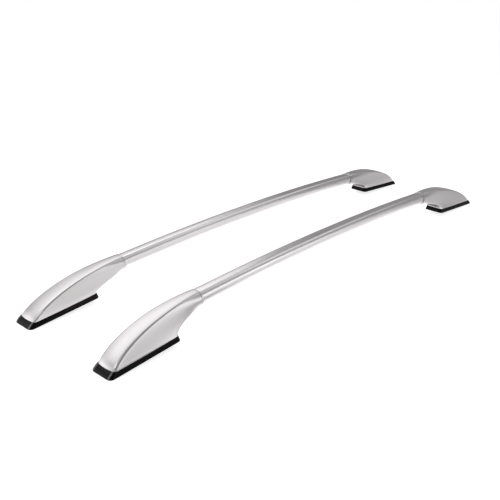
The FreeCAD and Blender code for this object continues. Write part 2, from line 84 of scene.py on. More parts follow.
class Labelled(Enum):
    """Option whose name starts the names of its pieces."""

    @property
    def label(self) -> str:
        """Start of the names of its pieces."""
        return self.name.lower()


class Corner(Labelled):
    """The four feet, with the signs that mirror the front right one into place."""

    FRONT_RIGHT = (1, 1)
    REAR_RIGHT = (-1, 1)
    FRONT_LEFT = (1, -1)
    REAR_LEFT = (-1, -1)

    def mirror(self, point: Vector) -> Vector:
        """Mirror image of a point of the front right foot."""
        return Vector((point.x * self.value[0], point.y * self.value[1], point.z))


class Side(Labelled):
    """The two rails, with the sign that mirrors the right one into place."""

    RIGHT = 1
    LEFT = -1


@dataclass(frozen=True)
class Layout:
    """Sizes in millimetres that the tubes, the feet and the fixings share."""

    length: float = 1500.0
    spacing: float = 295.0
    radius: float = 8260.0
    inset: float = 8.8
    rise: float = 55.3
    pitch: float = 4.0
    foot: float = 280.0
    sleeve: float = 30.0

    def arc_turn(self, along: float) -> float:
        """Turn of the bend from the upright, in radians, at a distance from the nose."""
        return math.asin((self.length / 2 - along) / (self.radius + self.rise))

    def rail_frame(self, along: float) -> Matrix:
        """Frame on the base line of the right rail, upright through the middle of the tube.

        Args:
            along: Distance from the nose towards the middle of the rail.

        Returns:
            Matrix from that frame to the whole object, in millimetres.
        """
        drop = math.sqrt(self.radius ** 2 - (self.length / 2) ** 2)
        centre = Matrix.Translation((0, -self.spacing / 2, -drop))
        turn = Matrix.Rotation(-self.arc_turn(along), 4, "Y")
        return centre @ turn @ Matrix.Translation((0, self.inset, self.radius))

    def foot_frame(self) -> Matrix:
        """Frame of the front right foot, at the bottom of its nose."""
        corner = Matrix.Translation((-self.length / 2, -self.spacing / 2, 0))
        return corner @ Matrix.Rotation(math.radians(-self.pitch), 4, "Y")


@dataclass(frozen=True)
class TubeSection:
    """Section of the tube: four arcs that bulge outwards, with round corners."""

    width: float = 38.0
    height: float = 32.0
    flat: float = 24.0
    crown: float = 1.2
    shoulder: float = 4.0
    belly: float = 8.0

    def outline(self, steps: int) -> list[Pair]:
        """Points round the section.

        Args:
            steps: Points on each side and each corner.

        Returns:
            Points (across, height) about the middle of the tube.
        """
        quarter = self._quarter(self.shoulder, steps)
        lower = self._quarter(self.belly, steps)
        points = quarter + [(-y, z) for y, z in reversed(quarter)]
        points += [(-y, -z) for y, z in lower]
        points += [(y, -z) for y, z in reversed(lower)]
        return _without_repeats(points)

    def _quarter(self, rounding: float, steps: int) -> list[Pair]:
        """Points from the widest place to the top, round one corner.

        Args:
            rounding: Radius of the corner.
            steps: Steps on the side, the corner and the top.

        Returns:
            The points.
        """
        half = self.flat / 2
        top = self.height / 2 - self.crown
        bulge = (self.width - self.flat) / 2
        side_radius = (bulge ** 2 + top ** 2) / (2 * bulge)
        top_radius = (self.crown ** 2 + half ** 2) / (2 * self.crown)
        side_centre = half + bulge - side_radius
        top_centre = top + self.crown - top_radius
        near, far = side_radius - rounding, top_radius - rounding
        gap = Vector((-side_centre, top_centre))
        share = (near ** 2 - far ** 2 + gap.length_squared) / (2 * gap.length)
        off = math.sqrt(near ** 2 - share ** 2)
        line = gap.normalized()
        centre = Vector((side_centre, 0)) + line * share + Vector((-line.y, line.x)) * off
        side_turn = math.atan2(centre.y, centre.x - side_centre)
        top_turn = math.atan2(centre.y - top_centre, centre.x)
        points = arc((side_centre, 0.0), side_radius, 0.0, side_turn, steps)
        points += arc(centre, rounding, side_turn, top_turn, steps)[1:-1]
        return points + arc((0.0, top_centre), top_radius, top_turn, math.pi / 2, steps)


def _without_repeats(points: list[Pair]) -> list[Pair]:
    """Closed outline without points that repeat the one before."""
    pairs = zip(points[-1:] + points[:-1], points)
    return [point for before, point in pairs if math.dist(point, before) > SAME_SPOT]


class Skin:
    """Surface of one piece, gathered ring by ring in millimetres."""

    def __init__(self) -> None:
        """Start with nothing."""
        self.points: list[Vector] = []
        self.faces: list[list[int]] = []
        self.caps: list[list[list[int]]] = []

    def ring(self, points: Iterable[Vector]) -> list[int]:
        """Add the points of a closed ring.

        Args:
            points: Points in order.

        Returns:
            Their numbers in the surface.
        """
        start = len(self.points)
        self.points.extend(points)
        return list(range(start, len(self.points)))

    def bridge(self, first: list[int], second: list[int]) -> None:
        """Join two rings of as many points with a band of faces."""
        for one, after, two, beyond in zip(first, first[1:] + first[:1], second, second[1:] + second[:1]):
            self.faces.append([one, after, beyond, two])

    def stack(self, rings: Sequence[list[int]]) -> None:
        """Join each ring to the next."""
        for first, second in zip(rings, rings[1:]):
            self.bridge(first, second)

    def cap(self, *loops: list[int]) -> None:
        """Close a flat area inside the first ring, with the other rings as holes in it."""
        self.caps.append(list(loops))

    def mesh(self, name: str, corner: Corner, frame: Matrix) -> bpy.types.Mesh:
        """Make the surface a mesh in its place.

        Args:
            name: Name of the mesh.
            corner: The foot that it belongs to.
            frame: Matrix from the surface's own frame to the front right foot's place.

        Returns:
            Mesh in metres, with its faces pointing outwards.
        """
        shape = bmesh.new()
        spots = [shape.verts.new(corner.mirror(frame @ point) * MM) for point in self.points]
        for face in self.faces:
            shape.faces.new([spots[index] for index in face])
        for loops in self.caps:
            edges = []
            for loop in loops:
                pairs = zip(loop, loop[1:] + loop[:1])
                edges += [_edge(shape, spots[one], spots[two]) for one, two in pairs]
            bmesh.ops.triangle_fill(shape, use_beauty=True, use_dissolve=False, edges=edges)
        bmesh.ops.recalc_face_normals(shape, faces=shape.faces)
        result = bpy.data.meshes.new(name)
        shape.to_mesh(result)
        shape.free()
        return result


def _edge(
    shape: bmesh.types.BMesh, one: bmesh.types.BMVert, two: bmesh.types.BMVert
) -> bmesh.types.BMEdge:
    """Edge between two points, made where there is none."""
    return shape.edges.get((one, two)) or shape.edges.new((one, two))


def show(name: str, mesh: bpy.types.Mesh, finish: Finish, nodes: Sequence[str]) -> bpy.types.Object:
    """Put a finished mesh in the scene in place of its solids.

    Args:
        name: Name of the piece.
        mesh: Its mesh, in place.
        finish: What it is made of.
        nodes: The solids that it stands for.

    Returns:
        The piece.
    """
    piece = bpy.data.objects.new(name, mesh)
    bpy.context.scene.collection.objects.link(piece)
    mesh.materials.clear()
    mesh.materials.append(finish.material())
    mesh.shade_smooth()
    mesh.set_sharp_from_angle(angle=math.radians(finish.sharp_above))
    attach(piece, BODY)
    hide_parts(*nodes)
    LOG.info("%s: %d faces", name, len(mesh.polygons))
    return piece


class Nodes:
    """Node tree that is filled call by call."""

    def __init__(self, tree: bpy.types.NodeTree) -> None:
        """Start on a tree."""
        self.tree = tree

    def lead(self, source: object, socket: Socket) -> None:
        """Lead an output to a socket, or set a plain value on it.

        Args:
            source: The output or the value.
            socket: The socket.
        """
        if isinstance(source, Socket):
            self.tree.links.new(source, socket)
        else:
            socket.default_value = source

    def node(self, kind: str, **inputs: object) -> bpy.types.Node:
        """Add a node.

        Args:
            kind: Type of the node.
            inputs: Outputs or plain values for its sockets, named with underscores for spaces.

        Returns:
            The node.
        """
        node = self.tree.nodes.new(kind)
        for label, source in inputs.items():
            self.lead(source, node.inputs[label.replace("_", " ")])
        return node

    def worked(self, operation: str, first: Socket | float, second: Socket | float) -> Socket:
        """Result of two numbers.

        Args:
            operation: How the numbers are put together.
            first: One number, led in or plain.
            second: The other.

        Returns:
            The result.
        """
        node = self.node("ShaderNodeMath")
        node.operation = operation
        for source, socket in zip((first, second), node.inputs):
            self.lead(source, socket)
        return node.outputs["Value"]

    def span(
        self, source: Socket, start: float, end: float, low: float, high: float, smooth: bool = True
    ) -> Socket:
        """Number that changes between two places.

        Args:
            source: What it follows.
            start: Where the change starts.
            end: Where it ends.
            low: Number before it.
            high: Number after it.
            smooth: Whether it starts and ends gently.

        Returns:
            The number.
        """
        limits = {"From_Min": start, "From_Max": end, "To_Min": low, "To_Max": high}
        node = self.node("ShaderNodeMapRange", Value=source, **limits)
        node.interpolation_type = "SMOOTHSTEP" if smooth else "LINEAR"
        return node.outputs["Result"]

    def ramp(
        self, source: Socket, stops: Sequence[tuple[float, Sequence[float]]], easing: str = "LINEAR"
    ) -> Socket:
        """Colour that changes from stop to stop.

        Args:
            source: What it follows, from 0 to 1.
            stops: Places in order, each with the colour there.
            easing: How it changes between them.

        Returns:
            The colour.
        """
        node = self.node("ShaderNodeValToRGB", Fac=source)
        node.color_ramp.interpolation = easing
        levels = node.color_ramp.elements
        while len(levels) < len(stops):
            levels.new(1.0)
        for level, (place, colour) in zip(levels, stops):
            level.position = place
            level.color = (*colour, 1)
        return node.outputs["Color"]


class Recipe(Nodes):
    """Shader nodes of one finish, on the piece's own coordinates."""

    def __init__(self, name: str) -> None:
        """Start a material with its shader and its coordinates.

        Args:
            name: Name of the material.
        """
        material = bpy.data.materials.new(name)
        material.use_nodes = True
        super().__init__(material.node_tree)
        self.tree.nodes.clear()
        self.shader = self.node("ShaderNodeBsdfPrincipled")
        self.node("ShaderNodeOutputMaterial", Surface=self.shader.outputs["BSDF"])
        self.place = self.node("ShaderNodeTexCoord").outputs["Object"]

    def settle(self, **inputs: Socket | float) -> None:
        """Lead outputs to the shader's own sockets or set plain numbers there, named as in node()."""
        for label, source in inputs.items():
            self.lead(source, self.shader.inputs[label.replace("_", " ")])

    def stretched(self, along: float, across: float, up: float) -> Socket:
        """Coordinates stretched differently in the three directions."""
        return self.node("ShaderNodeMapping", Vector=self.place, Scale=(along, across, up)).outputs["Vector"]

    def noise(self, scale: float, detail: float, place: Socket | None = None) -> Socket:
        """Soft random pattern about one half, with so many patches to the metre and finer layers."""
        node = self.node("ShaderNodeTexNoise", Vector=place or self.place, Scale=scale, Detail=detail)
        return node.outputs["Fac"]

    def between(self, source: Socket, low: float, high: float) -> Socket:
        """Number between two limits, led by a pattern."""
        return self.span(source, WEAK, STRONG, low, high, smooth=False)

    def colours(self, source: Socket, low: Sequence[float], high: Sequence[float]) -> Socket:
        """Colour between two, led by a pattern."""
        return self.ramp(source, ((WEAK, low), (STRONG, high)))

    def stored(self, name: str) -> Socket:
        """Number that the mesh holds for each of its points.

        Args:
            name: Name that the mesh holds it under.

        Returns:
            The number.
        """
        node = self.node("ShaderNodeAttribute")
        node.attribute_name = name
        return node.outputs["Fac"]

    def laid_over(self, share: Socket, first: Socket, second: Socket) -> Socket:
        """One colour laid over another.

        Args:
            share: How much of the second shows.
            first: Colour below.
            second: Colour laid over it.

        Returns:
            The colour.
        """
        node = self.node("ShaderNodeMix")
        node.data_type = "RGBA"
        sockets = {socket.identifier: socket for socket in node.inputs}
        for source, place in ((share, "Factor_Float"), (first, "A_Color"), (second, "B_Color")):
            self.lead(source, sockets[place])
        return next(socket for socket in node.outputs if socket.identifier == "Result_Color")

    def relief(self, height: Socket, strength: float, depth: float) -> None:
        """Give the surface a fine relief from a pattern, its depth in metres."""
        node = self.node("ShaderNodeBump", Height=height, Strength=strength, Distance=depth)
        self.settle(Normal=node.outputs["Normal"])


@dataclass(frozen=True)
class Finish:
    """What all finishes share: a name, the record's slot and where shading turns sharp."""

    name: str
    slot: str
    sharp_above: float = 40.0

    def material(self) -> bpy.types.Material:
        """Make the finish's material, once.

        Returns:
            The material.
        """
        if self.name not in bpy.data.materials:
            self.make(Recipe(self.name))
        return bpy.data.materials[self.name]

    def make(self, recipe: Recipe) -> None:
        """Fill in the shader nodes of the finish."""
        raise NotImplementedError


def silver(tone: float) -> list[float]:
    """Colour of silver at a tone, with its slight warmth."""
    return [tone * part for part in SILVER_TINT]


@dataclass(frozen=True)
class SatinSilver(Finish):
    """Silver paint on a moulding: fine metal flakes under a thin satin lacquer."""

    name: str = "satin_silver_paint"
    slot: str = "cover_silver"
    tone: float = 0.70
    tone_shares: Pair = (0.965, 1.035)
    roughness: Pair = (0.32, 0.37)
    metallic: float = 0.85
    coat: float = 0.12
    coat_roughness: float = 0.25
    flakes: Pair = (2600, 1)
    sparkle: float = 0.06
    clouds: Pair = (9, 3)
    peel: Pair = (420, 2)
    relief: Pair = (0.05, 0.0004)

    def make(self, recipe: Recipe) -> None:
        """Fill in the shader nodes of the paint.

        Args:
            recipe: The nodes so far.
        """
        flakes, clouds = recipe.noise(*self.flakes), recipe.noise(*self.clouds)
        sparkle = recipe.worked("ADD", recipe.between(flakes, -self.sparkle, self.sparkle), clouds)
        recipe.settle(
            Base_Color=recipe.colours(sparkle, *[silver(self.tone * share) for share in self.tone_shares]),
            Roughness=recipe.between(clouds, *self.roughness),
            Metallic=self.metallic,
            Coat_Weight=self.coat,
            Coat_Roughness=self.coat_roughness,
        )
        recipe.relief(recipe.noise(*self.peel), *self.relief)


@dataclass(frozen=True)
class AnodisedTube(Finish):
    """Anodised extrusion: fine drawing lines along the tube."""

    name: str = "anodised_silver"
    slot: str = "tube_silver"
    tone: float = 0.74
    tone_shares: Pair = (0.96, 1.03)
    roughness: Pair = (0.27, 0.35)
    metallic: float = 0.92
    anisotropy: float = 0.2
    lines: Pair = (900, 2)
    line_stretch: Triple = (0.012, 1, 1)
    line_depth: float = 0.1
    clouds: Pair = (5, 2)
    relief: Pair = (0.06, 0.0002)

    def make(self, recipe: Recipe) -> None:
        """Fill in the shader nodes of the extrusion.

        Args:
            recipe: The nodes so far.
        """
        lines = recipe.noise(*self.lines, recipe.stretched(*self.line_stretch))
        clouds = recipe.noise(*self.clouds)
        drawn = recipe.worked("ADD", recipe.between(lines, -self.line_depth, self.line_depth), clouds)
        recipe.settle(
            Base_Color=recipe.colours(lines, *[silver(self.tone * share) for share in self.tone_shares]),
            Roughness=recipe.between(drawn, *self.roughness),
            Metallic=self.metallic,
            Anisotropic=self.anisotropy,
        )
        recipe.relief(lines, *self.relief)


@dataclass(frozen=True)
class BlackRubber(Finish):
    """Moulded black rubber: fine grain, a little bloom, and a pale painted highlight along the nose corners."""

    name: str = "black_rubber"
    slot: str = "pad_rubber"
    sharp_above: float = 50.0
    black: tuple[Triple, Triple] = ((0.002, 0.002, 0.0021), (0.006, 0.006, 0.0062))
    # Colours of the painted highlight, which stands in for the shine of a lamp on the nose corners.
    pale: tuple[Triple, Triple] = ((0.28, 0.28, 0.28), (0.40, 0.40, 0.40))
    roughness: Pair = (0.16, 0.24)
    specular: float = 0.08
    grain: Pair = (1500, 3)
    speckle: float = 0.08
    bloom: Pair = (28, 4)
    relief: Pair = (0.12, 0.0003)

    def make(self, recipe: Recipe) -> None:
        """Fill in the shader nodes of the rubber.

        Args:
            recipe: The nodes so far.
        """
        grain, bloom = recipe.noise(*self.grain), recipe.noise(*self.bloom)
        black, pale = recipe.colours(bloom, *self.black), recipe.colours(bloom, *self.pale)
        speckle = recipe.worked("ADD", recipe.between(grain, -self.speckle, self.speckle), bloom)
        recipe.settle(
            # Painted highlight: the pale colour is laid over the black where the mesh value says.
            Base_Color=recipe.laid_over(recipe.stored(PAINTED_HIGHLIGHT), black, pale),
            Roughness=recipe.between(speckle, *self.roughness),
            Specular_IOR_Level=self.specular,
        )
        recipe.relief(grain, *self.relief)


@dataclass(frozen=True, kw_only=True)
class HiddenMetal(Finish):
    """Metal of a hidden piece: stained in patches, with a grain in its sheen and a fine relief."""

    stain: Pair
    grain: Pair
    skin: Pair
    dark: Triple
    light: Triple
    roughness: Pair
    relief: Pair
    metallic: float = 1.0

    def make(self, recipe: Recipe) -> None:
        """Fill in the shader nodes of the metal.

        Args:
            recipe: The nodes so far.
        """
        recipe.settle(
            Base_Color=recipe.colours(recipe.noise(*self.stain), self.dark, self.light),
            Roughness=recipe.between(recipe.noise(*self.grain), *self.roughness),
            Metallic=self.metallic,
        )
        recipe.relief(recipe.noise(*self.skin), *self.relief)


CAST_ALUMINIUM = HiddenMetal(
    name="cast_aluminium", slot="bracket_cast", stain=(22, 3), grain=(700, 4), skin=(700, 4), metallic=0.9,
    dark=(0.40, 0.40, 0.41), light=(0.52, 0.52, 0.53), roughness=(0.48, 0.66), relief=(0.3, 0.0003),
)
TURNED_BRASS = HiddenMetal(
    name="turned_brass", slot="insert_brass", stain=(160, 4), grain=(160, 4), skin=(900, 2),
    dark=(0.42, 0.27, 0.09), light=(0.68, 0.48, 0.19), roughness=(0.42, 0.24), relief=(0.08, 0.0002),
)
ZINC_STEEL = HiddenMetal(
    name="zinc_steel", slot="screw_steel", stain=(420, 3), grain=(420, 3), skin=(420, 3),
    dark=(0.46, 0.47, 0.50), light=(0.62, 0.63, 0.64), roughness=(0.26, 0.40), relief=(0.08, 0.0002),
)


@dataclass
class RailTube:
    """Bent tube between two feet."""

    layout: Layout
    section: TubeSection = field(default_factory=TubeSection)
    finish: AnodisedTube = field(default_factory=AnodisedTube)
    rings: int = 160
    corner_steps: int = 8

    def build(self, side: Side) -> bpy.types.Object:
        """Make the tube of one rail.

        Args:
            side: The rail that it belongs to.

        Returns:
            The tube.
        """
        name = f"{side.label}_rail_tube"
        mesh = self._swept(name, side)
        return show(name, mesh, self.finish, [f"{side.label}_tube"])

    def _swept(self, name: str, side: Side) -> bpy.types.Mesh:
        """Sweep the section along the bend by geometry nodes.

        Args:
            name: Name of the tube.
            side: The rail that it belongs to.

        Returns:
            Plain mesh of the tube.
        """
        layout = self.layout
        profile = self._profile(name)
        carrier = bpy.data.objects.new(f"{name}_carrier", bpy.data.meshes.new(f"{name}_carrier"))
        bpy.context.scene.collection.objects.link(carrier)
        drop = math.sqrt(layout.radius ** 2 - (layout.length / 2) ** 2)
        across = (layout.inset - layout.spacing / 2) * side.value
        tree = sweep_tree()
        mesh = grown(carrier, tree, {
            "Section": profile,
            "Bend radius": (layout.radius + layout.rise) * MM,
            "Half turn": layout.arc_turn(layout.foot - layout.sleeve),
            "Rings": self.rings,
            "Place": (0.0, across * MM, -drop * MM),
            "Finish": self.finish.material(),
        })
        bpy.data.objects.remove(profile)
        return mesh

    def _profile(self, name: str) -> bpy.types.Object:
        """Draw the section as a closed curve, with its height along the first axis.

        Args:
            name: Name of the tube.

        Returns:
            The curve.
        """
        curve = bpy.data.curves.new(f"{name}_section", "CURVE")
        curve.dimensions = "3D"
        spline = curve.splines.new("POLY")
        points = self.section.outline(self.corner_steps)
        spline.points.add(len(points) - 1)
        for spot, (across, height) in zip(spline.points, points):
            spot.co = (height * MM, across * MM, 0, 1)
        spline.use_cyclic_u = True
        profile = bpy.data.objects.new(f"{name}_section", curve)
        bpy.context.scene.collection.objects.link(profile)
        return profile


class Wiring(Nodes):
    """Geometry node tree with named inputs."""

    def __init__(self, name: str, inputs: dict[str, str]) -> None:
        """Start a tree.

        Args:
            name: Name of the tree.
            inputs: Kind of socket for each named input.
        """
        super().__init__(bpy.data.node_groups.new(name, "GeometryNodeTree"))
        for label, kind in {"Geometry": "Geometry", **inputs}.items():
            self.tree.interface.new_socket(label, in_out="INPUT", socket_type=f"NodeSocket{kind}")
        self.tree.interface.new_socket("Geometry", in_out="OUTPUT", socket_type="NodeSocketGeometry")
        self.given = self.node("NodeGroupInput").outputs
        self.result = self.node("NodeGroupOutput").inputs

    def end(self, geometry: Socket) -> bpy.types.GeometryNodeTree:
        """Realize, set the finish and lead to the output.

        Args:
            geometry: What the tree has made.

        Returns:
            The finished tree.
        """
        real = self.node("GeometryNodeRealizeInstances", Geometry=geometry)
        dressed = self.node("GeometryNodeSetMaterial", Geometry=real.outputs[0], Material=self.given["Finish"])
        self.lead(dressed.outputs[0], self.result[0])
        return self.tree


def grown(
    carrier: bpy.types.Object, tree: bpy.types.GeometryNodeTree, inputs: dict[str, object]
) -> bpy.types.Mesh:
    """Plain mesh that a tree makes on an object, which is then removed.

    Args:
        carrier: Object whose mesh the tree starts from.
        tree: The tree.
        inputs: Value of each named input.

    Returns:
        The mesh.
    """
    modifier = carrier.modifiers.new("growth", "NODES")
    modifier.node_group = tree
    names = {item.name: item.identifier for item in tree.interface.items_tree if item.in_out == "INPUT"}
    for label, given in inputs.items():
        modifier[names[label]] = given
    bpy.context.view_layer.update()
    graph = bpy.context.evaluated_depsgraph_get()
    mesh = bpy.data.meshes.new_from_object(carrier.evaluated_get(graph))
    carrier.modifiers.remove(modifier)
    bpy.data.objects.remove(carrier)
    return mesh


def sweep_tree() -> bpy.types.GeometryNodeTree:
    """Make the tree that sweeps a closed section along a bend over the roof, once.

    Returns:
        The tree.
    """
    if "bent_sweep" in bpy.data.node_groups:
        return bpy.data.node_groups["bent_sweep"]
    wiring = Wiring("bent_sweep", {
        "Section": "Object", "Bend radius": "Float", "Half turn": "Float", "Rings": "Int",
        "Place": "Vector", "Finish": "Material",
    })
    given = wiring.given
    bend = wiring.node(
        "GeometryNodeCurveArc",
        Resolution=given["Rings"],
        Radius=given["Bend radius"],
        Start_Angle=wiring.worked("SUBTRACT", math.pi / 2, given["Half turn"]),
        Sweep_Angle=wiring.worked("MULTIPLY", given["Half turn"], 2.0),
    )
    section = wiring.node("GeometryNodeObjectInfo", Object=given["Section"])
    skin = wiring.node(
        "GeometryNodeCurveToMesh",
        Curve=bend.outputs["Curve"],
        Profile_Curve=section.outputs["Geometry"],
        Fill_Caps=True,
    )
    placed = wiring.node(
        "GeometryNodeTransform",
        Geometry=skin.outputs["Mesh"],
        Translation=given["Place"],
        Rotation=(math.pi / 2, 0.0, 0.0),
    )
    return wiring.end(placed.outputs["Geometry"])


@dataclass
class FootPad:
    """Rubber pad under a foot, with sealing ribs below and openings for the fixings."""

    layout: Layout
    length: float = 197.5
    nose_width: float = 68.0
    inner_width: float = 63.0
    thickness: float = 12.0
    nose_slope: float = 13.5
    nose_bulge: float = 2.0
    draft: float = 3.5
    nose_corner: float = 12.0
    inner_corner: float = 11.0
    bottom_round: float = 1.2
    bottom_steps: int = 4
    top_round: float = 0.7
    top_steps: int = 3
    rib_insets: Pair = (8.6, 5.2)
    groove_depth: float = 1.2
    wall_shares: tuple[float, ...] = (0.25, 0.4, 0.55, 0.7, 0.83)
    top_margin: float = 4.0
    least_round: float = 2.0
    corner_steps: int = 12
    hole_sectors: int = 40
    # Place, width and reach of the painted highlight round each nose corner, counted in points of each ring.
    rub_place: float = 2.3
    rub_width: float = 1.3
    rub_steps: int = 8
    insert_hole: float = 16.0
    screw_hole: float = 10.0
    inserts: Pairs = ((62.0, 0.0), (162.0, 0.0))
    screws: Pairs = ((45.0, 0.0), (112.0, -15.0))
    finish: BlackRubber = field(default_factory=BlackRubber)

    def build(self, corner: Corner) -> bpy.types.Object:
        """Make the pad of one foot.

        Args:
            corner: The foot that it belongs to.

        Returns:
            The pad.
        """
        skin = Skin()
        high, ribs = self.thickness, self._ribs()
        levels = ribs + [(up, inset) for inset, up in turned_edge(self.bottom_round, self.bottom_steps)]
        levels += [(high * share, 0.0) for share in self.wall_shares]
        levels += [(high - down, inset) for down, inset in turned_edge(self.top_round, self.top_steps)]
        levels.append((high, self.top_margin))
        rings = [skin.ring(self._outline(height, inset)) for height, inset in levels]
        skin.stack(rings)
        wells = [self._well(skin, spot, self.insert_hole) for spot in self.inserts]
        wells += [self._well(skin, spot, self.screw_hole) for spot in self.screws]
        skin.cap(rings[0], *[bottom for bottom, top in wells])
        skin.cap(rings[-1], *[top for bottom, top in wells])
        name = f"{corner.label}_rubber_pad"
        mesh = skin.mesh(name, corner, self.layout.foot_frame())
        # Paint a pale highlight along the two nose corners of the wall.
        self._rub(mesh, rings[len(ribs):])
        return show(name, mesh, self.finish, [f"{corner.label}_pad"])

    def _rub(self, mesh: bpy.types.Mesh, rings: Sequence[list[int]]) -> None:
        """Note on the mesh how strongly the painted highlight lies on its two nose corners.

        Args:
            mesh: Mesh of the pad.
            rings: Rings of its wall, which start and end at the nose.
        """
        layer = mesh.attributes.new(PAINTED_HIGHLIGHT, "FLOAT", "POINT")
        for ring in rings:
            for index in range(self.rub_steps):
                share = math.exp(-(((index - self.rub_place) / self.rub_width) ** 2))
                for spot in (ring[index], ring[-1 - index]):
                    layer.data[spot].value = share

    def _ribs(self) -> list[Pair]:
        """Height and inset of the rings across the sealing ribs, from the middle outwards."""
        groove = ((0.0, 0.0), (self.groove_depth, 0.3), (self.groove_depth, 1.5), (0.0, 1.8))
        return [(height, inset - nearer) for inset in self.rib_insets for height, nearer in groove]

    def _well(self, skin: Skin, spot: Pair, width: float) -> list[list[int]]:
        """Wall of a round opening through the pad.

        Args:
            skin: Surface that it is added to.
            spot: Its middle, along and across the foot.
            width: Its diameter.

        Returns:
            Its lower and its upper ring.
        """
        heights = (0.0, self.thickness)
        rings = [skin.ring(round_ring(width / 2, height, self.hole_sectors, spot)) for height in heights]
        skin.bridge(*rings)
        return rings

    def _outline(self, height: float, inset: float) -> list[Vector]:
        """Ring round the pad.

        Args:
            height: Its height in the foot.
            inset: How far it lies inside the pad's skin.

        Returns:
            Its points.
        """
        share = height / self.thickness
        drawn = self.draft * share
        nose = self.nose_slope * share - 4 * self.nose_bulge * share * (1 - share) + inset
        inner = self.length - drawn - inset
        nose_half = self.nose_width / 2 - drawn - inset
        inner_half = self.inner_width / 2 - drawn - inset
        nose_round = max(self.nose_corner - drawn - inset, self.least_round)
        inner_round = max(self.inner_corner - drawn - inset, self.least_round)
        first = Vector((nose + nose_round, -(nose_half - nose_round)))
        second = Vector((inner - inner_round, -(inner_half - inner_round)))
        step = second - first
        lower = math.atan2(step.y, step.x) - math.acos((nose_round - inner_round) / step.length)
        arcs = (
            (first, nose_round, -math.pi, lower),
            (second, inner_round, lower, 0.0),
            (Vector((second.x, -second.y)), inner_round, 0.0, -lower),
            (Vector((first.x, -first.y)), nose_round, -lower, math.pi),
        )
        bends = [[Vector((*spot, height)) for spot in arc(*part, self.corner_steps)] for part in arcs]
        right, left = self._straight(bends[0], bends[1]), self._straight(bends[2], bends[3])
        return bends[0] + right + bends[1] + bends[2] + left + bends[3]

    def _straight(self, before: list[Vector], after: list[Vector]) -> list[Vector]:
        """Points between the end of one bend and the start of the next."""
        shares = [step / self.corner_steps for step in range(1, self.corner_steps)]
        return [before[-1].lerp(after[0], share) for share in shares]


